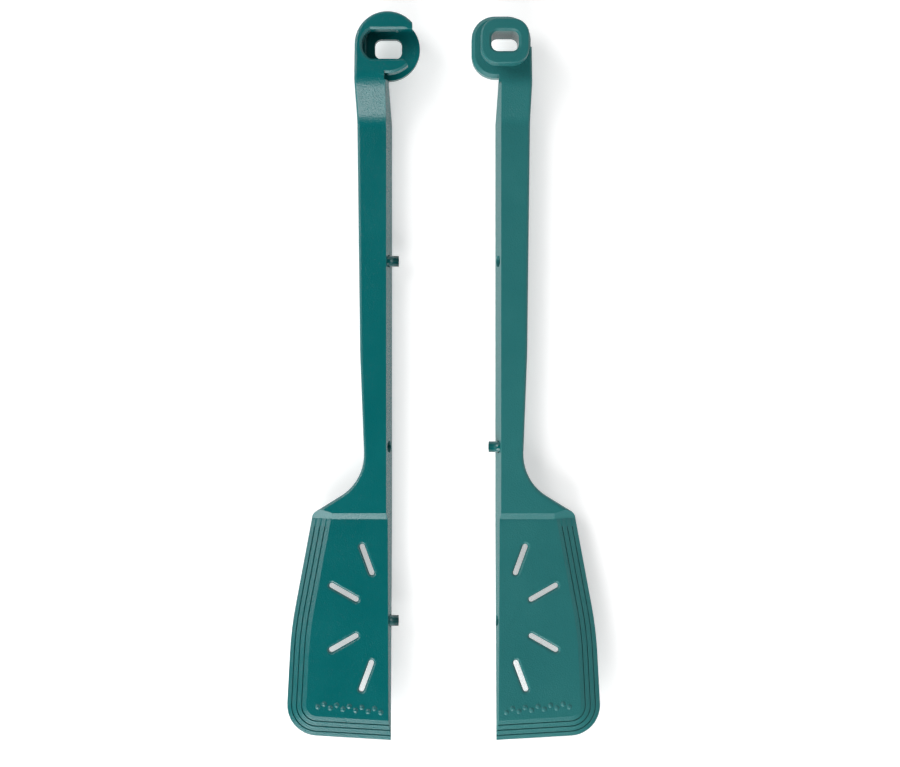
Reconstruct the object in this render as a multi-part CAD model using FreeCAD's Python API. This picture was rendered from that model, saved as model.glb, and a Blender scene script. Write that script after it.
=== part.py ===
import FreeCAD, Part
import math
import os

# A two-part kitchen hand: a left half and a right half of one slotted blade with one long handle.
# The halves lie level and side by side, heads at +Y and blade tips at -Y, and the right half slides
# along -X until the straight mating edges meet, its foot under the jaws of the left head and its
# button over them. Three dowel pins then sit in the bores of the opposite half.
#
# Each half is modelled in its own hand frame: x runs outward from the mating plane, y = 0 is the
# middle of the head, and z = 0 is the top of the handle. The left half is the mirrored one.

V = FreeCAD.Vector

# ---- lengths along the hand -------------------------------------------------------------------
handle_reach = 200.0          # head centre to the foot of the step down to the blade
blade_length = 93.0           # foot of the step to the tip at the mating edge
mating_gap = 44.6             # between the two mating planes when the halves lie apart
contact_gap = 0.1             # left between the mating planes at the end of the slide

# ---- handle -----------------------------------------------------------------------------------
handle_depth = 12.0
handle_width_neck = 14.5      # at the foot of the neck
handle_width_middle = 13.3
handle_width_blade = 11.2     # where the shoulder flares out
handle_taper_length = 70.0    # foot of the step up to where the taper sets in
shoulder_length = 16.2        # foot of the step up to the corner between handle and shoulder
shoulder_radius = 21.0
shoulder_depth = 5.3          # thickness of the flared shoulder outside the spine
deck_round = 1.2              # round on the upper outer edge
keel_round = 1.6              # round on the lower outer edge of the spine
bevel_width = 2.15            # slope along the inner upper edge
bevel_depth = 7.2

# ---- neck between handle and head -------------------------------------------------------------
neck_top = 14.8               # head centre to the start of the bend
neck_foot = 30.8              # head centre to the end of the bend
neck_inset = 1.0              # inner side of the neck, outward of the mating plane
neck_bend_radius = 12.0
neck_outer = 15.2             # outer side of the neck at the head
neck_outer_blend = 30.0       # blend radii along the outer side, from the neck to the handle
neck_foot_blend = 60.0
handle_bow_radius = 300.0

# ---- blade ------------------------------------------------------------------------------------
blade_tilt = 5.0              # degrees that the blade rises towards its tip
step_drop = 1.95              # from the handle top down to the blade
step_run = 2.6
plate_thickness = 3.4
edge_thickness = 1.3
shoulder_corner_width = 33.7  # half width of the blade at its shoulder corner
shoulder_corner_rise = 2.4    # the shoulder corner lies this far above the foot of the step
shoulder_corner_radius = 4.0
blade_width_middle = 42.5     # half width where the outer edge turns
blade_middle = 46.4           # foot of the step to that turn
blade_bow_radius = 150.0
blade_width_tip = 44.5        # half width at the tip corner
tip_corner_rise = 2.6         # the outer tip corner lies this far above the tip
tip_corner_radius = 13.0
corner_slope_start = 25.0     # a slope from here takes the shoulder corner down to the terraces
corner_slope_out = 0.26       # its fall per millimetre outward
corner_slope_along = 0.75     # and its fall per millimetre towards the tip

terrace_count = 4
terrace_pitch = 2.17
groove_width = 0.42
groove_depth = 0.32
groove_start = 3.0            # the grooves begin this far below the foot of the step

rib_width_start = 7.0         # the spine goes on under the blade as a rib
rib_width_end = 5.0
rib_end_depth = 2.9
rib_end_margin = 9.5          # the rib stops this far short of the tip
rib_cover = 1.2               # blade left over the top of the rib
rib_blend = 20.0
tip_bevel_width = 0.9
tip_bevel_depth = 1.6

slot_width = 2.2
slot_length = 11.8            # between the two end centres
slot_round = 1.15             # soft round on the slots' upper rims
slot_fan_x = 1.3              # the slots point at this spot near the mating edge
slot_fan_offset = 1.3         # middle of the fan, beyond halfway from the foot to the bump row
slot_fan = ((69.6, 26.1), (29.4, 21.6), (-29.4, 21.6), (-69.6, 26.1))   # angle, distance

bump_count = 11
bump_radius = 1.05
bump_height = 0.5
bump_inner = 4.2              # mating plane to the first bump
bump_pitch = 2.66
bump_line_to_tip = 12.4       # row at the first bump to the tip
bump_rise = 0.09              # the row climbs outward by this slope
bump_zigzag = 0.7

# ---- heads ------------------------------------------------------------------------------------
head_clearance = 0.2          # above and below each plate of the joined heads
foot_thickness = 5.4          # lower plate of the right head
jaw_thickness = 5.6           # slotted upper plate of the left head
button_thickness = 5.6
floor_thickness = 3.0         # round lower plate of the left head
foot_top = 5.0                # top of the right foot above the handle top
foot_side_clearance = 0.25

left_head_x = 1.2             # head centres, outward of each mating plane
right_head_x = 2.0
jaw_radius = 13.8
floor_radius = 13.4
lower_jaw_radius = 12.2
lower_jaw_reach = 6.4         # head centre to the tip of the lower jaw, at the mouth
lower_jaw_slant = 0.8         # the tip's end face runs inward by this slope
upper_jaw_reach = 10.4        # head centre to the blunt end of the upper jaw
jaw_notch_x = 2.6             # the lower jaw's outer curve begins this far from the mating plane
mouth_width = 12.3            # slot between the jaws
mouth_end_reach = 10.8        # left head centre to the blind end of the slot
mouth_end_flatness = 0.85     # radius of the blind end over half the mouth's width
mouth_bump = 0.35             # detent on the upper jaw
mouth_bump_radius = 1.4
mouth_bump_x = -4.2           # from the left head centre
foot_half_length = 12.5       # outline of the foot, with round corners
foot_half_width = 13.0
foot_corner_radius = 9.8
foot_chamfer = 1.4
button_outset = 1.3           # button, stem and window lie outward of the foot's middle
button_half_length = 10.1
button_half_width = 9.45
button_corner_radius = 7.0
stem_clearance = 0.45         # each side of the stem in the mouth
stem_half_length = 8.2
stem_end_flatness = 0.7       # radius of its round ends over its half width
stem_swing_clearance = 0.6    # right neck to the round lower plate of the left head
window_half_length = 5.7
window_half_width = 4.2
window_corner_radius = 2.8
rim_chamfer = 0.9             # along the mouth, the lower jaw and the window
button_round = 0.8

# ---- dowel pins -------------------------------------------------------------------------------
pin_diameter = 4.7
pin_reach = 3.2               # beyond the mating plane
pin_seat = 5.2                # depth of the seat in its own half
pin_chamfer = 0.7
pin_bore_clearance = 0.12     # radial, in the opposite half
pin_end_clearance = 0.5
pin_depth = 3.9               # pin axis below the handle top
lower_pin_depth = 3.2         # and below the blade
pin_ring = 0.35               # radial width of the recess round each pin
pin_ring_depth = 0.7
upper_pin_y = 89.9            # head centre to the pin
middle_pin_to_foot = 30.8     # pin to the foot of the step
lower_pin_to_foot = 43.1

# ---- worked out -------------------------------------------------------------------------------
handle_middle = handle_reach - handle_taper_length
shoulder_start = handle_reach - shoulder_length
middle_pin_y = handle_reach - middle_pin_to_foot
lower_pin_y = handle_reach + lower_pin_to_foot
bump_line = blade_length - bump_line_to_tip
slot_fan_y = bump_line / 2 + slot_fan_offset
jaw_bottom = foot_top + head_clearance
jaw_top = jaw_bottom + jaw_thickness
foot_bottom = foot_top - foot_thickness
floor_top = foot_bottom - head_clearance
floor_bottom = floor_top - floor_thickness
button_bottom = jaw_top + head_clearance
button_top = button_bottom + button_thickness
half_mouth = mouth_width / 2
mouth_end_radius = half_mouth + mouth_end_flatness
stem_half_width = half_mouth - stem_clearance
mated_left_x = -left_head_x   # the left head centre seen from the mated right half
mated_right_x = -right_head_x
tilt = math.radians(blade_tilt)
edge_slope = (blade_width_middle - shoulder_corner_width) / (blade_middle + shoulder_corner_rise)
tip_slope = tip_corner_rise / blade_width_tip
far = 60.0                    # larger than any part of a half's width or height
bite = 0.6                    # overlap of bodies that are joined into one, and run-over of cutters
hair = 1e-6                   # how near a place counts as on a face
along_axis = 0.9              # part of a unit vector from which an edge runs along that axis


# ---- outlines and simple solids ---------------------------------------------------------------

def corner_frame(corners, index):
    """A corner of an outline: its place, and unit vectors to the corners before and after."""
    here, before, after = (V(corners[i % len(corners)][0], corners[i % len(corners)][1], 0)
                           for i in (index, index - 1, index + 1))
    return here, (before - here).normalize(), (after - here).normalize()


def inset(corners, distance):
    """The same convex outline, drawn in all round by a distance."""
    moved = []
    for index, corner in enumerate(corners):
        here, back, front = corner_frame(corners, index)
        place = here + (back + front).normalize() * (distance / math.sin(back.getAngle(front) / 2))
        moved.append((place.x, place.y, max(corner[2] - distance, 0)))
    return moved


def outline(corners, place):
    """A closed wire through corners (a, b, radius); place turns plane points into space points."""
    runs = []
    for index, corner in enumerate(corners):
        here, back, front = corner_frame(corners, index)
        half_angle = back.getAngle(front) / 2
        reach = corner[2] / math.tan(half_angle)
        inward = (back + front).normalize()
        middle = here + inward * (corner[2] / math.sin(half_angle) - corner[2])
        runs.append((here + back * reach, middle, here + front * reach, corner[2]))
    edges = []
    for index, (start, middle, end, radius) in enumerate(runs):
        if radius:
            edges.append(Part.Arc(place(start), place(middle), place(end)).toShape())
        edges.append(Part.makeLine(place(end), place(runs[(index + 1) % len(runs)][0])))
    return Part.Wire(edges)


def plan(corners, height):
    """A level outline."""
    return outline(corners, lambda point: V(point.x, point.y, height))


def prism(corners, bottom, top):
    """A block of one outline between two heights."""
    return Part.Face(plan(corners, bottom)).extrude(V(0, 0, top - bottom))


def frustum(low_corners, low, high_corners, high):
    """A solid with sloping sides between two level outlines."""
    return Part.makeLoft([plan(low_corners, low), plan(high_corners, high)], True, True)


def side_sweep(corners, width=far):
    """A solid swept outward from the mating plane, from corners (y, z, radius)."""
    wire = outline(corners, lambda point: V(0, point.x, point.y))
    return Part.Face(wire).extrude(V(width, 0, 0))


def box(x0, x1, y0, y1, z0, z1):
    return Part.makeBox(x1 - x0, y1 - y0, z1 - z0, V(x0, y0, z0))


def disc(radius, x, bottom, top):
    """A round plate about the head's middle, with its seam towards the mating side."""
    plate = Part.makeCylinder(radius, top - bottom, V(x, 0, bottom))
    plate.rotate(V(x, 0, 0), V(0, 0, 1), 180)
    return plate


def pad(half_length, half_width, radius, x):
    """Corners of an outline with round corners, about the head's middle line."""
    return [(x + across * half_length, along * half_width, radius)
            for across, along in ((-1, -1), (1, -1), (1, 1), (-1, 1))]


def round_ended_wire(half_width, reach, end_radius, x, height):
    """A level outline along x with flat sides and round ends that reach as far each way."""
    corner = reach - end_radius + math.sqrt(end_radius ** 2 - half_width ** 2)
    points = [V(x + across * corner, along * half_width, height)
              for across, along in ((-1, -1), (1, -1), (1, 1), (-1, 1))]
    return Part.Wire([Part.makeLine(points[0], points[1]),
                      Part.Arc(points[1], V(x + reach, 0, height), points[2]).toShape(),
                      Part.makeLine(points[2], points[3]),
                      Part.Arc(points[3], V(x - reach, 0, height), points[0]).toShape()])


def round_ended(half_width, reach, end_radius, x, bottom, top):
    wire = round_ended_wire(half_width, reach, end_radius, x, bottom)
    return Part.Face(wire).extrude(V(0, 0, top - bottom))


def rounded(shape, radius, wanted):
    """The shape with a round on each edge whose middle point and direction pass the test."""
    chosen = []
    for edge in shape.Edges:
        halfway = (edge.FirstParameter + edge.LastParameter) / 2
        if wanted(edge.valueAt(halfway), edge.tangentAt(halfway)):
            chosen.append(edge)
    return shape.makeFillet(radius, chosen)


# ---- handle, shoulder and neck ----------------------------------------------------------------

def bend(head_height, handle_height):
    """Corners of the neck's curve, in side view, from the handle up to the head."""
    return [(-neck_foot, handle_height, neck_bend_radius), (-neck_top, head_height, neck_bend_radius),
            (0, head_height, 0)]


def outer_side():
    """Corners of the outer side of neck and handle, in plan, down to the shoulder."""
    return [(left_head_x + jaw_radius, 0, 0), (neck_outer, -neck_top, neck_outer_blend),
            (handle_width_neck, -neck_foot, neck_foot_blend),
            (handle_width_middle, -handle_middle, handle_bow_radius)]


def inner_side():
    """Corners of the inner side of the neck, in plan, from the handle up to the head."""
    return [(0, -neck_foot, 0), (neck_inset, -neck_top, 0), (neck_inset, 0, 0)]


def deck_height(y, head_height):
    """Height of the top of neck and handle, before its bends are rounded."""
    share = (y + neck_foot) / (neck_foot - neck_top)
    return head_height * min(max(share, 0), 1)


def deck(head_height):
    """The upper layer of neck, handle and shoulder, with its outer edge rounded."""
    end = -handle_reach - shoulder_corner_radius
    end_x = shoulder_corner_width + edge_slope * (shoulder_corner_rise + shoulder_corner_radius)
    corners = ([(0, end, 0)] + inner_side() + outer_side()
               + [(handle_width_blade, -shoulder_start, shoulder_radius),
                  (shoulder_corner_width, shoulder_corner_rise - handle_reach,
                   shoulder_corner_radius), (end_x, end, 0)])
    under = bend(head_height - shoulder_depth, -shoulder_depth)
    profile = ([(end - far, 0, 0)] + bend(head_height, 0) + under[::-1]
               + [(end - far, -shoulder_depth, 0)])
    layer = prism(corners, -far, far).common(side_sweep(profile))

    def outer_top(middle, direction):
        near_top = middle.z > deck_height(middle.y, head_height) - shoulder_depth / 3
        across = abs(direction.x) > 1 - hair
        return near_top and middle.x > neck_inset + bite and not across \
            and end + hair < middle.y < -hair
    layer = rounded(layer, deck_round, outer_top)
    return layer.cut(step_cutter()).cut(corner_cutter()).cut(
        box(-far, far, -2 * handle_reach, -handle_reach, -far, far))


def step_cutter():
    """All that lies over the blade and over the slope of the step up to the handle."""
    climb = far / step_drop
    return side_sweep([(-handle_reach, -step_drop, 0),
                       (-handle_reach + climb * step_run, far - step_drop, 0),
                       (-handle_reach - far, far - step_drop, 0), (-handle_reach - far, -step_drop, 0)])


def corner_cutter():
    """All that lies over the slope at the shoulder corner."""
    normal = V(corner_slope_out, -corner_slope_along, 1)
    block = Part.makeBox(4 * far, 4 * far, far, V(-2 * far, -2 * far, 0))
    block.Placement = FreeCAD.Placement(V(corner_slope_start, -handle_reach, -step_drop),
                                        FreeCAD.Rotation(V(0, 0, 1), normal))
    return block


def blade_point(along, under):
    """Side view place of a point along the blade from its foot, and under its top."""
    return (-handle_reach - along * math.cos(tilt) - under * math.sin(tilt),
            -step_drop + along * math.sin(tilt) - under * math.cos(tilt))


def spine(head_height, neck_bottom):
    """The deep part under the deck, which runs on as a rib under the blade."""
    rib_end = blade_length - rib_end_margin
    corners = ([(0, blade_point(rib_end, 0)[0], 0)] + inner_side() + outer_side()
               + [(handle_width_blade, -shoulder_start, rib_blend),
                  (rib_width_start, -handle_reach, rib_blend),
                  (rib_width_end, blade_point(rib_end, 0)[0], 0)])
    half_deck = shoulder_depth / 2
    profile = ([blade_point(rib_end, rib_end_depth) + (0,), blade_point(rib_end, rib_cover) + (0,),
                blade_point(0, rib_cover) + (0,), (-handle_reach + far / 10, -half_deck, 0)]
               + bend(head_height - half_deck, -half_deck)
               + bend(neck_bottom, -handle_depth)[::-1] + [(-handle_reach, -handle_depth, rib_blend)])
    body = prism(corners, -far, far).common(side_sweep(profile))

    def outer_bottom(middle, direction):
        near_bottom = middle.z < bottom_height(middle.y, neck_bottom) + rib_cover
        return near_bottom and middle.x > neck_inset + bite \
            and max(abs(direction.x), abs(direction.z)) < along_axis
    return rounded(body, keel_round, outer_bottom)


def bottom_height(y, neck_bottom):
    """Height of the bottom of neck, handle and rib, before its bends are rounded."""
    end_y, end_z = blade_point(blade_length - rib_end_margin, rib_end_depth)
    if y < -handle_reach:
        share = (y + handle_reach) / (end_y + handle_reach)
        return -handle_depth + share * (end_z + handle_depth)
    share = (y + neck_foot) / (neck_foot - neck_top)
    return -handle_depth + (neck_bottom + handle_depth) * min(max(share, 0), 1)


# ---- blade ------------------------------------------------------------------------------------

def tilted(shape):
    """A blade part, modelled flat with its foot at y = 0 and its top at z = 0, in its place."""
    shape.Placement = FreeCAD.Placement(V(0, -handle_reach, -step_drop),
                                        FreeCAD.Rotation(V(1, 0, 0), -blade_tilt))
    return shape


def blade_corners():
    """Outline of the blade, run on past the foot and past the mating plane."""
    beyond = far / 3
    return [(-beyond, beyond, 0),
            (shoulder_corner_width - edge_slope * (beyond - shoulder_corner_rise), beyond, 0),
            (blade_width_middle, -blade_middle, blade_bow_radius),
            (blade_width_tip, tip_corner_rise - blade_length, tip_corner_radius),
            (-beyond, -blade_length - tip_slope * beyond, 0)]


def terraces():
    """The blade's plate: sloping terraces with a groove between each two, round a flat top."""
    corners = blade_corners()
    fall = (plate_thickness - edge_thickness) / terrace_count
    slope_run = terrace_pitch - groove_width
    low = edge_thickness - plate_thickness
    tiers = [prism(corners, -plate_thickness, low)]
    grooves = []
    for index in range(terrace_count):
        start = index * terrace_pitch
        bottom = low + index * fall
        crest = inset(corners, start + slope_run)
        tiers.append(frustum(inset(corners, start), bottom, crest, bottom + fall))
        if index < terrace_count - 1:
            floor = bottom + fall - groove_depth
            ring = prism(crest, floor, fall).cut(prism(inset(corners, start + terrace_pitch),
                                                       floor, fall))
            grooves.append(ring)
    plate = tiers[0].multiFuse(tiers[1:])
    region = box(0, far, -2 * blade_length, bite, -far, far)
    grooved = box(-far, far, -2 * blade_length, -groove_start, -far, far)
    return plate.common(region).cut(grooves[0].multiFuse(grooves[1:]).common(grooved))


def slots():
    """The cutters for the slots, which fan out from a spot near the mating edge."""
    radius = slot_width / 2
    cutters = []
    for angle, distance in slot_fan:
        cutter = round_ended(radius, slot_length / 2 + radius, radius, distance, -far, far)
        cutter.rotate(V(0, 0, 0), V(0, 0, 1), angle)
        cutter.translate(V(slot_fan_x, -slot_fan_y, 0))
        cutters.append(cutter)
    return cutters[0].multiFuse(cutters[1:])


def bumps():
    """A zigzag row of small grip bumps near the tip."""
    ball = (bump_radius ** 2 + bump_height ** 2) / (2 * bump_height)
    row = []
    for index in range(bump_count):
        side = bump_zigzag if index % 2 else -bump_zigzag
        row.append(Part.makeSphere(ball, V(bump_inner + index * bump_pitch,
                                           side - bump_line + bump_rise * bump_pitch * index,
                                           bump_height - ball)))
    slice_over = box(0, far, -blade_length, 0, -edge_thickness, far)
    return [bump.common(slice_over) for bump in row]


def bevel_section(width, depth, y, top=0):
    """What is cut off along the inner upper edge, seen along the hand."""
    high = top + far / 2
    return Part.makePolygon([V(-far, y, high), V(width, y, high), V(width, y, top),
                             V(0, y, top - depth), V(-far, y, top - depth), V(-far, y, high)])


def handle_bevel(head_height):
    """The slope along the inner upper edge of the handle, which climbs with the neck."""
    places = ((-handle_reach, 0), (-neck_foot, 0), (-neck_top, head_height))
    return Part.makeLoft([bevel_section(bevel_width, bevel_depth, y, top) for y, top in places],
                         True, True)


def blade_bevel():
    """The same slope along the blade, from its size at the step to a smaller one at the tip."""
    left_depth = bevel_depth - step_drop
    left_width = bevel_width * left_depth / bevel_depth
    return tilted(Part.makeLoft([bevel_section(left_width, left_depth, bite),
                                 bevel_section(tip_bevel_width, tip_bevel_depth,
                                               -blade_length - bite)], True, True))


def blade():
    """The blade, with soft upper rims round its slots, and its grip bumps."""
    cutters = slots()
    plate = rounded(terraces().cut(cutters), slot_round,
                    lambda middle, direction: middle.z > -hair
                    and cutters.isInside(middle, hair, True))
    return tilted(plate.multiFuse(bumps()))


# ---- heads ------------------------------------------------------------------------------------

def left_head(body):
    """The left head: two jaws round a mouth, over a round floor, with room for the foot between."""
    x = left_head_x
    jaws = rounded(disc(jaw_radius, x, floor_top, jaw_top), deck_round,
                   lambda middle, direction: middle.z > jaw_top - hair)
    round_floor = disc(floor_radius, x, floor_bottom, floor_top)
    lower_jaw = disc(lower_jaw_radius, x, floor_top, jaw_top - rim_chamfer).fuse(
        Part.makeCone(lower_jaw_radius, lower_jaw_radius - rim_chamfer, rim_chamfer,
                      V(x, 0, jaw_top - rim_chamfer)))
    lower_side = box(-far, jaw_notch_x, -neck_top, 0, floor_top, far).cut(lower_jaw)
    upper_end = box(-far, x - upper_jaw_reach, 0, far, floor_top, far)
    lower_end = jaw_end_cutter(x - lower_jaw_reach)
    room_corners = inset(pad(foot_half_length, foot_half_width, foot_corner_radius, mated_right_x),
                         -foot_side_clearance)
    room = prism(room_corners, floor_top, jaw_bottom)
    half_way_in = foot_half_width + foot_side_clearance
    way_in = box(-far, mated_right_x, -half_way_in, half_way_in, floor_top, jaw_bottom)
    open_side = box(-far, 0, -neck_top, neck_top, floor_top, jaw_bottom)
    mouth_way = box(-far, x, -half_mouth, half_mouth, jaw_bottom - bite, far)
    window = prism(window_corners(x), -far, floor_top + bite)
    bump_y = half_mouth + mouth_bump_radius - mouth_bump
    bump = Part.makeCylinder(mouth_bump_radius, jaw_thickness - rim_chamfer,
                             V(x + mouth_bump_x, bump_y, jaw_bottom))
    head = body.fuse(jaws.fuse(round_floor)).cut(
        lower_side.multiFuse([upper_end, lower_end, room, way_in, open_side, mouth_way, window]))
    return head.cut(mouth(x)).fuse(bump)


def mouth(x):
    """The cutter for the slot between the jaws, with a chamfer round its upper rim."""
    slot = round_ended(half_mouth, mouth_end_reach, mouth_end_radius, x, jaw_bottom - bite, far)
    low, high = (round_ended_wire(half_mouth + grow, mouth_end_reach + grow,
                                  mouth_end_radius + grow, x, jaw_top - rim_chamfer + grow)
                 for grow in (0, rim_chamfer))
    return slot.fuse(Part.makeLoft([low, high], True, True))


def jaw_end_cutter(tip_x):
    """All that lies past the slanting end of the lower jaw."""
    over, under = bite - half_mouth, -half_mouth - lower_jaw_radius
    return prism([(tip_x + lower_jaw_slant * bite, over, 0),
                  (tip_x - lower_jaw_slant * lower_jaw_radius, under, 0), (-far, under, 0),
                  (-far, over, 0)], floor_top, far)


def window_corners(x):
    """Outline of the hang hole."""
    return pad(window_half_length, window_half_width, window_corner_radius, x)


def right_head(body):
    """The right head: a foot that slides under the jaws, a stem in the mouth, a button on top."""
    under_left_floor = disc(jaw_radius + stem_swing_clearance, mated_left_x, -far, foot_bottom)
    shoulder = foot_top - foot_chamfer
    foot_corners = pad(foot_half_length, foot_half_width, foot_corner_radius, right_head_x)
    foot = prism(foot_corners, foot_bottom, shoulder)
    foot_crest = frustum(foot_corners, shoulder, inset(foot_corners, foot_chamfer), foot_top)
    x = right_head_x + button_outset
    stem = round_ended(stem_half_width, stem_half_length, stem_half_width + stem_end_flatness, x,
                       foot_top - bite, button_bottom + bite)
    button = prism(pad(button_half_length, button_half_width, button_corner_radius, x),
                   button_bottom, button_top)
    button = rounded(button, button_round,
                     lambda middle, direction: middle.z > button_top - hair)
    window = prism(window_corners(x), -far, far)
    window_rim = frustum(window_corners(x), button_top - rim_chamfer,
                         inset(window_corners(x), -rim_chamfer), button_top)
    return body.cut(under_left_floor).multiFuse([foot, foot_crest, stem, button]).cut(
        window.fuse(window_rim))


# ---- pins -------------------------------------------------------------------------------------

def lower_pin_z():
    along = (lower_pin_y - handle_reach) / math.cos(tilt)
    return blade_point(along, lower_pin_depth)[1]


pin_places = {"upper_pin": (-upper_pin_y, -pin_depth), "middle_pin": (-middle_pin_y, -pin_depth),
              "lower_pin": (-lower_pin_y, lower_pin_z())}
pins_of_left = ("upper_pin", "lower_pin")


def rod(name, diameter, start, end):
    """A round bar across the mating plane, on the axis of a named pin."""
    y, z = pin_places[name]
    return Part.makeCylinder(diameter / 2, end - start, V(start, y, z), V(1, 0, 0))


def pin(name):
    bar = rod(name, pin_diameter, -pin_reach, pin_seat)
    return bar.makeChamfer(pin_chamfer, [edge for edge in bar.Edges
                                         if max(v.X for v in edge.Vertexes) < hair - pin_reach])


def bored(body, own_pins):
    """A half with the seats of its own pins and the bores for the pins of the other half."""
    for name in pin_places:
        if name in own_pins:
            y, z = pin_places[name]
            slope_x = bevel_width * max(0, 1 + z / bevel_depth) if name != "lower_pin" else 0
            body = body.cut(rod(name, pin_diameter, -pin_reach, pin_seat))
            body = body.cut(rod(name, pin_diameter + 2 * pin_ring, -pin_reach,
                                slope_x + pin_ring_depth))
        else:
            body = body.cut(rod(name, pin_diameter + 2 * pin_bore_clearance, -pin_reach,
                                pin_reach + pin_end_clearance))
    return body


# ---- the two halves in their places -----------------------------------------------------------

def half(head_height, add_head, own_pins):
    body = deck(head_height).fuse(spine(head_height, floor_bottom)).removeSplitter()
    body = add_head(body).cut(tilted(slots())).fuse(blade())
    return bored(body.cut(handle_bevel(head_height)).cut(blade_bevel()), own_pins)


def in_place(shape, is_left, middle_y):
    """A shape of a half, from its hand frame to where it lies on the table."""
    if is_left:
        shape = shape.mirror(V(0, 0, 0), V(1, 0, 0))
    side = -mating_gap / 2 if is_left else mating_gap / 2
    shape = shape.copy()
    shape.translate(V(side, -middle_y, handle_depth))
    return shape


def main():
    os.makedirs("parts", exist_ok=True)
    pins_of_right = tuple(name for name in pin_places if name not in pins_of_left)
    hands = {"left_hand": half(jaw_top, left_head, pins_of_left),
             "right_hand": half(foot_top, right_head, pins_of_right)}
    boxes = [hand.optimalBoundingBox() for hand in hands.values()]
    middle_y = (max(b.YMax for b in boxes) + min(b.YMin for b in boxes)) / 2
    for name, hand in hands.items():
        solid = hand.Solids[0] if len(hand.Solids) == 1 else hand
        placed = in_place(solid, name == "left_hand", middle_y)
        placed.exportStep(f"parts/{name}.step")
    for name in pin_places:
        placed = in_place(pin(name), name in pins_of_left, middle_y)
        placed.exportStep(f"parts/{name}.step")
    print("travel of the right half along -X:", round(mating_gap - contact_gap, 3))


main()
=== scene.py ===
"""Looks of a two-part slotted spatula: moulded finishes, turned dowel pins and a plain studio."""

import logging
import math
from dataclasses import dataclass
from enum import Enum
from typing import Iterator, Sequence

import bmesh
import bpy
from mathutils import Matrix, Vector


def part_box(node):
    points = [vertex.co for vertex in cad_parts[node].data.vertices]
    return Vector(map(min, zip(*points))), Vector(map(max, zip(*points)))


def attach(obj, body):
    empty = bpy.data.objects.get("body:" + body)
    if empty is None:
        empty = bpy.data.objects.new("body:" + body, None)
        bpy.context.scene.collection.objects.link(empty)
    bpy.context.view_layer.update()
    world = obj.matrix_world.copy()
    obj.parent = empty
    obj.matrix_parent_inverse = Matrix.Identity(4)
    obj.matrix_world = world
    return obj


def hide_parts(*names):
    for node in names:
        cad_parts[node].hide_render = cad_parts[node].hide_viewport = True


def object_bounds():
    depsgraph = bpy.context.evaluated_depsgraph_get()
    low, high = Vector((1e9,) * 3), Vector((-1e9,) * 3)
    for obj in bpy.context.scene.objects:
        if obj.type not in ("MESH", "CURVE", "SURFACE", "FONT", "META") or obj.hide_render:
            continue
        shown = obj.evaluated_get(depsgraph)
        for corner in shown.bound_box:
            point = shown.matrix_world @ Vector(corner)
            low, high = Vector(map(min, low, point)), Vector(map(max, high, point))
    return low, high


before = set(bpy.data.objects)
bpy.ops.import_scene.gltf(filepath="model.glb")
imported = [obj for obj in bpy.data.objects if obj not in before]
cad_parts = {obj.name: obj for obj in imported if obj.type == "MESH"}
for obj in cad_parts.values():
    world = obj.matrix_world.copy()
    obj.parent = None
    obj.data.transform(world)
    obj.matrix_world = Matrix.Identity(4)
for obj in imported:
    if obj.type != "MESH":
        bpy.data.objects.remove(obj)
CAD_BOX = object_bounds()

MM = 0.001
LOG = logging.getLogger("spatula")

Colour = tuple[float, float, float]


class Body(Enum):
    """Rigid bodies that pieces ride on."""

    LEFT = "left_half"
    RIGHT = "right_half"


# ---- shared effects ---------------------------------------------------------------------------


class Effect:
    """A shader node group with named inputs and outputs, built once and placed in many materials."""

    def __init__(self, name: str, inputs: dict[str, str], outputs: dict[str, str]) -> None:
        """Makes the empty group.

        Args:
            name: name of the group.
            inputs: socket name to socket type.
            outputs: socket name to socket type.
        """
        self.tree = bpy.data.node_groups.new(name, "ShaderNodeTree")
        for label, kind in inputs.items():
            self.tree.interface.new_socket(name=label, in_out="INPUT", socket_type=kind)
        for label, kind in outputs.items():
            self.tree.interface.new_socket(name=label, in_out="OUTPUT", socket_type=kind)
        self.entry = self.tree.nodes.new("NodeGroupInput")
        self.exit = self.tree.nodes.new("NodeGroupOutput")

    def node(self, kind: str, **settings: object) -> bpy.types.Node:
        """Adds a node.

        Args:
            kind: Blender's name of the node's type.
            **settings: properties of the node.

        Returns:
            The new node.
        """
        made = self.tree.nodes.new(kind)
        for key, value in settings.items():
            setattr(made, key, value)
        return made

    def link(self, source: bpy.types.NodeSocket, target: bpy.types.NodeSocket) -> None:
        """Joins an output to an input."""
        self.tree.links.new(source, target)

    def ramp(self, source: bpy.types.NodeSocket, low: float, high: float) -> bpy.types.NodeSocket:
        """Maps a value from low..high to 0..1, clamped.

        Args:
            source: the value.
            low: what becomes 0.
            high: what becomes 1.

        Returns:
            The mapped value.
        """
        mapped = self.node("ShaderNodeMapRange")
        mapped.inputs["From Min"].default_value = low
        mapped.inputs["From Max"].default_value = high
        self.link(source, mapped.inputs["Value"])
        return mapped.outputs["Result"]

    def maths(self, operation: str, first: bpy.types.NodeSocket,
              second: bpy.types.NodeSocket | float) -> bpy.types.NodeSocket:
        """Works out a value from two.

        Args:
            operation: Blender's name of the operation.
            first: the first value.
            second: the second value, or a number.

        Returns:
            The result.
        """
        made = self.node("ShaderNodeMath", operation=operation)
        self.link(first, made.inputs[0])
        if isinstance(second, bpy.types.NodeSocket):
            self.link(second, made.inputs[1])
        else:
            made.inputs[1].default_value = second
        return made.outputs[0]

    def placed(self, tree: bpy.types.NodeTree, **values: float) -> bpy.types.Node:
        """Places the effect in a material.

        Args:
            tree: the material's nodes.
            **values: the effect's own inputs.

        Returns:
            The group's node there.
        """
        made = tree.nodes.new("ShaderNodeGroup")
        made.node_tree = self.tree
        for label, value in values.items():
            made.inputs[label].default_value = value
        return made


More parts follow.
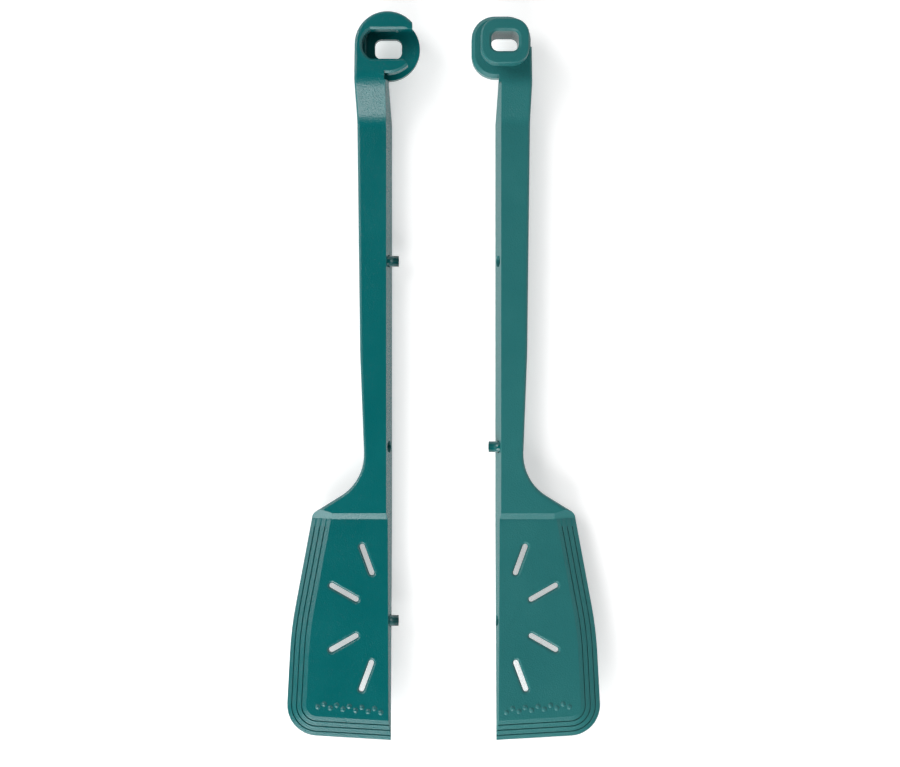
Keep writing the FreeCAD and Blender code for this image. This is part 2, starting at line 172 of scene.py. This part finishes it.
def spark_grain() -> Effect:
    """The fine even grain that a spark-eroded mould leaves: Height from Vector and Scale.

    Returns:
        The effect.
    """
    pit_pitch, pit_reach, pit_share = 0.7, 0.55, 0.4
    effect = Effect("spark_grain", {"Vector": "NodeSocketVector", "Scale": "NodeSocketFloat"},
                    {"Height": "NodeSocketFloat"})
    fine = effect.node("ShaderNodeTexNoise")
    fine.inputs["Detail"].default_value = 3.0
    fine.inputs["Roughness"].default_value = 0.62
    pits = effect.node("ShaderNodeTexVoronoi", feature="F1")
    for texture in (fine, pits):
        effect.link(effect.entry.outputs["Vector"], texture.inputs["Vector"])
    effect.link(effect.entry.outputs["Scale"], fine.inputs["Scale"])
    effect.link(effect.maths("MULTIPLY", effect.entry.outputs["Scale"], pit_pitch), pits.inputs["Scale"])
    pit_depth = effect.maths("MULTIPLY", effect.ramp(pits.outputs["Distance"], 0.0, pit_reach), pit_share)
    effect.link(effect.maths("ADD", fine.outputs["Fac"], pit_depth), effect.exit.inputs["Height"])
    return effect


def cloudiness() -> Effect:
    """Broad soft drift in a moulding's colour and gloss: Mask from Vector and Scale.

    Returns:
        The effect.
    """
    effect = Effect("cloudiness", {"Vector": "NodeSocketVector", "Scale": "NodeSocketFloat"},
                    {"Mask": "NodeSocketFloat"})
    noise = effect.node("ShaderNodeTexNoise")
    noise.inputs["Detail"].default_value = 4.0
    noise.inputs["Distortion"].default_value = 0.4
    effect.link(effect.entry.outputs["Vector"], noise.inputs["Vector"])
    effect.link(effect.entry.outputs["Scale"], noise.inputs["Scale"])
    effect.link(effect.ramp(noise.outputs["Fac"], 0.3, 0.7), effect.exit.inputs["Mask"])
    return effect


def edge_round_and_painted_highlight() -> Effect:
    """Edges: a Mask for a painted highlight along them, and the softened Normal, from Radius.

    Returns:
        The effect.
    """
    flat_likeness, edge_likeness = 0.999, 0.82
    effect = Effect("edge_round_and_painted_highlight", {"Radius": "NodeSocketFloat"},
                    {"Mask": "NodeSocketFloat", "Normal": "NodeSocketVector"})
    soft = effect.node("ShaderNodeBevel", samples=6)
    effect.link(effect.entry.outputs["Radius"], soft.inputs["Radius"])
    geometry = effect.node("ShaderNodeNewGeometry")
    likeness = effect.node("ShaderNodeVectorMath", operation="DOT_PRODUCT")
    effect.link(soft.outputs["Normal"], likeness.inputs[0])
    effect.link(geometry.outputs["Normal"], likeness.inputs[1])
    highlighted = effect.ramp(likeness.outputs["Value"], flat_likeness, edge_likeness)
    effect.link(highlighted, effect.exit.inputs["Mask"])
    effect.link(soft.outputs["Normal"], effect.exit.inputs["Normal"])
    return effect


def recess_shade() -> Effect:
    """Painted shade in grooves, bores and the walls of slots: Mask from Reach.

    Returns:
        The effect.
    """
    open_share, enclosed_share = 0.92, 0.35
    effect = Effect("recess_shade", {"Reach": "NodeSocketFloat"}, {"Mask": "NodeSocketFloat"})
    painted_hollow_shade = effect.node("ShaderNodeAmbientOcclusion", samples=8, only_local=True)
    effect.link(effect.entry.outputs["Reach"], painted_hollow_shade.inputs["Distance"])
    effect.link(effect.ramp(painted_hollow_shade.outputs["AO"], open_share, enclosed_share), effect.exit.inputs["Mask"])
    return effect


# ---- finishes ---------------------------------------------------------------------------------


@dataclass(frozen=True)
class MouldedPlastic:
    """One moulded, through-coloured plastic: its tones, gloss, grain and edges."""

    name: str
    colour: Colour
    shade: Colour
    # Painted highlight colour, laid along edges and crests.
    painted_highlight: Colour
    # Painted shade colour, laid in grooves, bores and slot walls.
    recess_painted_shade: Colour
    roughness: float
    specular: float
    grain_scale: float
    grain_depth: float
    edge_radius: float
    roughness_drift: float = 0.03
    drift_scale: float = 38.0
    highlight_share: float = 0.42
    recess_reach: float = 1.8 * MM

    def build(self, effects: dict[str, Effect]) -> bpy.types.Material:
        """Makes the material.

        Args:
            effects: the shared node groups by name.

        Returns:
            The new material.
        """
        material = bpy.data.materials.new(self.name)
        material.use_nodes = True
        tree = material.node_tree
        shader = tree.nodes["Principled BSDF"]
        shader.inputs["Specular IOR Level"].default_value = self.specular
        place = tree.nodes.new("ShaderNodeTexCoord").outputs["Object"]
        drift = effects["cloudiness"].placed(tree, Scale=self.drift_scale)
        edge_effect = effects["edge_round_and_painted_highlight"].placed(tree, Radius=self.edge_radius)
        grain = effects["spark_grain"].placed(tree, Scale=self.grain_scale)
        painted_hollow_shade = effects["recess_shade"].placed(tree, Reach=self.recess_reach)
        for pattern in (drift, grain):
            tree.links.new(place, pattern.inputs["Vector"])
        tone = mixed_colour(tree, drift.outputs["Mask"], self.shade, self.colour)
        # Painted shade: the recess colour laid in where ambient occlusion finds hollows.
        tone = mixed_colour(tree, painted_hollow_shade.outputs["Mask"], tone, self.recess_painted_shade)
        # Painted highlight: the lighter colour laid along edges and crests by the edge mask.
        highlight = tree.nodes.new("ShaderNodeMath")
        highlight.operation = "MULTIPLY"
        highlight.inputs[1].default_value = self.highlight_share
        tree.links.new(edge_effect.outputs["Mask"], highlight.inputs[0])
        highlighted = mixed_colour(tree, highlight.outputs[0], tone, self.painted_highlight)
        tree.links.new(highlighted, shader.inputs["Base Color"])
        gloss = tree.nodes.new("ShaderNodeMapRange")
        gloss.inputs["To Min"].default_value = self.roughness - self.roughness_drift
        gloss.inputs["To Max"].default_value = self.roughness + self.roughness_drift
        tree.links.new(drift.outputs["Mask"], gloss.inputs["Value"])
        tree.links.new(gloss.outputs["Result"], shader.inputs["Roughness"])
        bump = tree.nodes.new("ShaderNodeBump")
        bump.inputs["Distance"].default_value = self.grain_depth
        tree.links.new(grain.outputs["Height"], bump.inputs["Height"])
        tree.links.new(edge_effect.outputs["Normal"], bump.inputs["Normal"])
        tree.links.new(bump.outputs["Normal"], shader.inputs["Normal"])
        return material


def mixed_colour(tree: bpy.types.NodeTree, mask: bpy.types.NodeSocket,
                 first: bpy.types.NodeSocket | Colour, second: Colour) -> bpy.types.NodeSocket:
    """Mixes two colours by a mask.

    Args:
        tree: where the node goes.
        mask: 0 for the first colour, 1 for the second.
        first: a colour socket or a plain colour.
        second: a plain colour.

    Returns:
        The mixed colour.
    """
    first_input, second_input, mixed_output = 6, 7, 2
    mix = tree.nodes.new("ShaderNodeMix")
    mix.data_type = "RGBA"
    tree.links.new(mask, mix.inputs["Factor"])
    if isinstance(first, bpy.types.NodeSocket):
        tree.links.new(first, mix.inputs[first_input])
    else:
        mix.inputs[first_input].default_value = (*first, 1.0)
    mix.inputs[second_input].default_value = (*second, 1.0)
    return mix.outputs[mixed_output]


DEEP_TEAL = MouldedPlastic(
    name="deep_teal_moulded",
    colour=(0.0004, 0.134, 0.140),
    shade=(0.0003, 0.122, 0.128),
    painted_highlight=(0.050, 0.300, 0.290),
    recess_painted_shade=(0.0002, 0.052, 0.058),
    roughness=0.23,
    specular=0.52,
    grain_scale=1900.0,
    grain_depth=0.11 * MM,
    edge_radius=0.28 * MM,
)
# The same plastic as DEEP_TEAL in a lighter copy: painted sheen for the haze of light reflected on the
# right half.
TEAL_WITH_PAINTED_SHEEN = MouldedPlastic(
    name="teal_moulded_painted_sheen",
    colour=(0.022, 0.162, 0.162),
    shade=(0.018, 0.148, 0.150),
    painted_highlight=(0.080, 0.290, 0.280),
    recess_painted_shade=(0.004, 0.062, 0.066),
    roughness=0.32,
    specular=0.28,
    grain_scale=1900.0,
    grain_depth=0.12 * MM,
    edge_radius=0.28 * MM,
)
PIN_TEAL = MouldedPlastic(
    name="pin_teal_polished",
    colour=(0.0010, 0.110, 0.112),
    shade=(0.0006, 0.090, 0.095),
    painted_highlight=(0.015, 0.180, 0.175),
    recess_painted_shade=(0.0004, 0.040, 0.044),
    roughness=0.14,
    specular=0.5,
    grain_scale=1200.0,
    grain_depth=0.004 * MM,
    edge_radius=0.2 * MM,
)


def dress(piece: bpy.types.Object, material: bpy.types.Material) -> None:
    """Gives a piece one material in place of all it has."""
    piece.data.materials.clear()
    piece.data.materials.append(material)


# ---- the two halves ---------------------------------------------------------------------------


@dataclass
class Half:
    """One moulded half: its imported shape, in one finish."""

    node: str
    finish: MouldedPlastic

    def dress(self, effects: dict[str, Effect]) -> bpy.types.Object:
        """Gives the half its finish.

        Args:
            effects: the shared node groups by name.

        Returns:
            The half's object.
        """
        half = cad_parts[self.node]
        dress(half, self.finish.build(effects))
        return half


@dataclass
class DowelPin:
    """A turned dowel pin, seated in its own half and bare beyond the mating edge."""

    node: str
    body: Body
    finish: MouldedPlastic
    dimple_share: float = 0.42
    dimple_floor_share: float = 0.6
    dimple_lip_share: float = 1.3
    dimple_depth: float = 0.22 * MM
    crown: float = 0.12 * MM
    nose: float = 0.62 * MM
    nose_rings: int = 6
    turns: int = 64

    def profile(self) -> Iterator[tuple[float, float]]:
        """Half section of the pin, from its dimpled nose to its seated end.

        Yields:
            Distance behind the nose and distance from the axis.
        """
        low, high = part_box(self.node)
        radius = (high.z - low.z) / 2
        dimple = radius * self.dimple_share
        yield self.dimple_depth, 0.0
        yield self.dimple_depth, dimple * self.dimple_floor_share
        yield self.crown / 3, dimple
        yield 0.0, dimple * self.dimple_lip_share
        for step in range(self.nose_rings + 1):
            turn = math.pi / 2 * step / self.nose_rings
            yield (self.crown + self.nose * (1 - math.cos(math.pi / 2 - turn)),
                   radius - self.nose * (1 - math.sin(turn)))
        yield high.x - low.x, radius
        yield high.x - low.x, 0.0

    def build(self, effects: dict[str, Effect]) -> bpy.types.Object:
        """Spins the profile into a closed pin in its place.

        Args:
            effects: the shared node groups by name.

        Returns:
            The new piece.
        """
        low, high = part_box(self.node)
        centre = (low + high) / 2
        nose_x, inward = (high.x, -1.0) if self.body is Body.LEFT else (low.x, 1.0)
        form = bmesh.new()
        points = [form.verts.new((nose_x + inward * back, centre.y, centre.z + out))
                  for back, out in self.profile()]
        edges = [form.edges.new(pair) for pair in zip(points, points[1:])]
        bmesh.ops.spin(form, geom=points + edges, cent=centre, axis=(1, 0, 0), angle=2 * math.pi,
                       steps=self.turns, use_merge=True)
        bmesh.ops.remove_doubles(form, verts=form.verts, dist=0.001 * MM)
        bmesh.ops.recalc_face_normals(form, faces=form.faces)
        for face in form.faces:
            face.smooth = True
        piece = new_piece(f"{self.node}_turned", form)
        dress(piece, self.finish.build(effects))
        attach(piece, self.body.value)
        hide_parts(self.node)
        return piece


def new_piece(name: str, form: bmesh.types.BMesh) -> bpy.types.Object:
    """Makes an object from a bmesh and frees it.

    Args:
        name: the piece's name.
        form: its shape, in the frame's metres.

    Returns:
        The object, linked to the scene.
    """
    mesh = bpy.data.meshes.new(name)
    form.to_mesh(mesh)
    form.free()
    piece = bpy.data.objects.new(name, mesh)
    bpy.context.scene.collection.objects.link(piece)
    return piece


# ---- studio -----------------------------------------------------------------------------------


@dataclass(frozen=True)
class SoftBox:
    """An area lamp: where it hangs, how large and how strong it is."""

    name: str
    place: tuple[float, float, float]
    size: tuple[float, float]
    power: float

    def hang(self, target: Vector) -> bpy.types.Object:
        """Adds the lamp, facing the target.

        Args:
            target: the point that it faces.

        Returns:
            The lamp's object.
        """
        lamp = bpy.data.lights.new(self.name, "AREA")
        lamp.shape = "RECTANGLE"
        lamp.size, lamp.size_y = self.size
        lamp.energy = self.power
        holder = bpy.data.objects.new(self.name, lamp)
        place = Vector(self.place)
        facing = (target - place).to_track_quat("-Z", "Y").to_matrix().to_4x4()
        holder.matrix_world = Matrix.Translation(place) @ facing
        bpy.context.scene.collection.objects.link(holder)
        return holder


@dataclass
class Studio:
    """Plain white table, soft lamps and the camera straight above."""

    camera_height: float = 0.662
    aim: tuple[float, float] = (0.0027, -0.0026)
    lens: float = 61.15
    floor_half: float = 2.5
    floor_drop: float = 0.02 * MM
    floor_tone: float = 0.82
    floor_glow: float = 0.45
    glow_rise: tuple[float, float] = (0.40, 1.40)
    sky_horizon: float = 0.50
    sky_zenith: float = 0.0
    backdrop_fade: tuple[float, float] = (0.30, 0.80)
    lamps: Sequence[SoftBox] = (
        SoftBox("key_left", (-1.10, 0.64, 1.08), (0.9, 0.9), 14.5),
        SoftBox("low_front", (-0.34, -0.92, 0.50), (0.9, 0.9), 14.0),
        SoftBox("fill_right", (1.20, 0.20, 0.75), (0.6, 0.6), 3.0),
        SoftBox("fill_back", (0.0, 1.30, 0.80), (0.9, 0.4), 2.0),
    )

    def lay_floor(self) -> bpy.types.Object:
        """Lays the white table under the object.

        Returns:
            The floor's object.
        """
        form = bmesh.new()
        bmesh.ops.create_grid(form, x_segments=1, y_segments=1, size=self.floor_half)
        floor = new_piece("table_top", form)
        floor.data.transform(Matrix.Translation((0.0, 0.0, CAD_BOX[0].z - self.floor_drop)))
        material = bpy.data.materials.new("white_table")
        material.use_nodes = True
        tree = material.node_tree
        shader = tree.nodes["Principled BSDF"]
        shader.inputs["Base Color"].default_value = (self.floor_tone,) * 3 + (1.0,)
        shader.inputs["Roughness"].default_value = 0.9
        shader.inputs["Specular IOR Level"].default_value = 0.1
        shader.inputs["Emission Color"].default_value = (1.0, 1.0, 1.0, 1.0)
        far_out = tree.nodes.new("ShaderNodeVectorMath")
        far_out.operation = "LENGTH"
        tree.links.new(tree.nodes.new("ShaderNodeTexCoord").outputs["Object"], far_out.inputs[0])
        glow = tree.nodes.new("ShaderNodeMapRange")
        glow.interpolation_type = "SMOOTHSTEP"
        glow.inputs["From Min"].default_value = self.glow_rise[0]
        glow.inputs["From Max"].default_value = self.glow_rise[1]
        glow.inputs["To Min"].default_value = self.floor_glow
        tree.links.new(far_out.outputs["Value"], glow.inputs["Value"])
        tree.links.new(seen_directly(tree, glow.outputs["Result"]), shader.inputs["Emission Strength"])
        dress(floor, material)
        return floor

    def light(self) -> None:
        """Sets the world's light, white behind the object and dark overhead, and hangs the lamps."""
        world = bpy.data.worlds.new("studio_air")
        bpy.context.scene.world = world
        world.use_nodes = True
        tree = world.node_tree
        background = tree.nodes["Background"]
        background.inputs["Color"].default_value = (1.0, 1.0, 1.0, 1.0)
        height = tree.nodes.new("ShaderNodeSeparateXYZ")
        tree.links.new(tree.nodes.new("ShaderNodeTexCoord").outputs["Generated"], height.inputs[0])
        soft_light = tree.nodes.new("ShaderNodeMapRange")
        soft_light.inputs["To Min"].default_value = self.sky_horizon
        soft_light.inputs["To Max"].default_value = self.sky_zenith
        tree.links.new(height.outputs["Z"], soft_light.inputs["Value"])
        backdrop = tree.nodes.new("ShaderNodeMapRange")
        backdrop.inputs["From Min"].default_value = self.backdrop_fade[0]
        backdrop.inputs["From Max"].default_value = self.backdrop_fade[1]
        backdrop.inputs["To Min"].default_value = 1.0
        backdrop.inputs["To Max"].default_value = 0.0
        tree.links.new(height.outputs["Z"], backdrop.inputs["Value"])
        brighter = tree.nodes.new("ShaderNodeMath")
        brighter.operation = "MAXIMUM"
        tree.links.new(seen_directly(tree, backdrop.outputs["Result"]), brighter.inputs[0])
        tree.links.new(soft_light.outputs["Result"], brighter.inputs[1])
        tree.links.new(brighter.outputs[0], background.inputs["Strength"])
        for lamp in self.lamps:
            lamp.hang(Vector((0.0, 0.0, 0.0)))

    def set_camera(self) -> None:
        """Places the camera straight above the object."""
        lens = bpy.data.cameras.new("camera")
        lens.lens = self.lens
        lens.sensor_width = 36.0
        lens.clip_start = 0.01
        camera = bpy.data.objects.new("camera", lens)
        camera.location = (*self.aim, self.camera_height)
        bpy.context.scene.collection.objects.link(camera)
        bpy.context.scene.camera = camera
        bpy.context.scene.view_settings.view_transform = "Standard"


def seen_directly(tree: bpy.types.NodeTree, strength: bpy.types.NodeSocket) -> bpy.types.NodeSocket:
    """A strength for camera, mirror and see-through rays, and none for light on the object.

    Args:
        tree: the material's nodes.
        strength: the value for those rays.

    Returns:
        The strength.
    """
    path = tree.nodes.new("ShaderNodeLightPath")
    seen = path.outputs["Is Camera Ray"]
    for ray in ("Is Glossy Ray", "Is Transmission Ray"):
        either = tree.nodes.new("ShaderNodeMath")
        either.operation = "MAXIMUM"
        tree.links.new(seen, either.inputs[0])
        tree.links.new(path.outputs[ray], either.inputs[1])
        seen = either.outputs[0]
    scaled = tree.nodes.new("ShaderNodeMath")
    scaled.operation = "MULTIPLY"
    tree.links.new(strength, scaled.inputs[1])
    tree.links.new(seen, scaled.inputs[0])
    return scaled.outputs[0]


def main() -> None:
    """Dresses the halves, turns the pins and sets up the studio."""
    logging.basicConfig(level=logging.INFO, format="%(message)s")
    effects = {"spark_grain": spark_grain(), "cloudiness": cloudiness(), "edge_round_and_painted_highlight": edge_round_and_painted_highlight(),
               "recess_shade": recess_shade()}
    for half in (Half("left_hand", DEEP_TEAL), Half("right_hand", TEAL_WITH_PAINTED_SHEEN)):
        LOG.info("half: %s", half.dress(effects).name)
    for pin in (DowelPin("upper_pin", Body.LEFT, PIN_TEAL), DowelPin("lower_pin", Body.LEFT, PIN_TEAL),
                DowelPin("middle_pin", Body.RIGHT, PIN_TEAL)):
        LOG.info("pin: %s", pin.build(effects).name)
    studio = Studio()
    LOG.info("floor: %s", studio.lay_floor().name)
    studio.light()
    studio.set_camera()


if __name__ == "__main__":
    main()
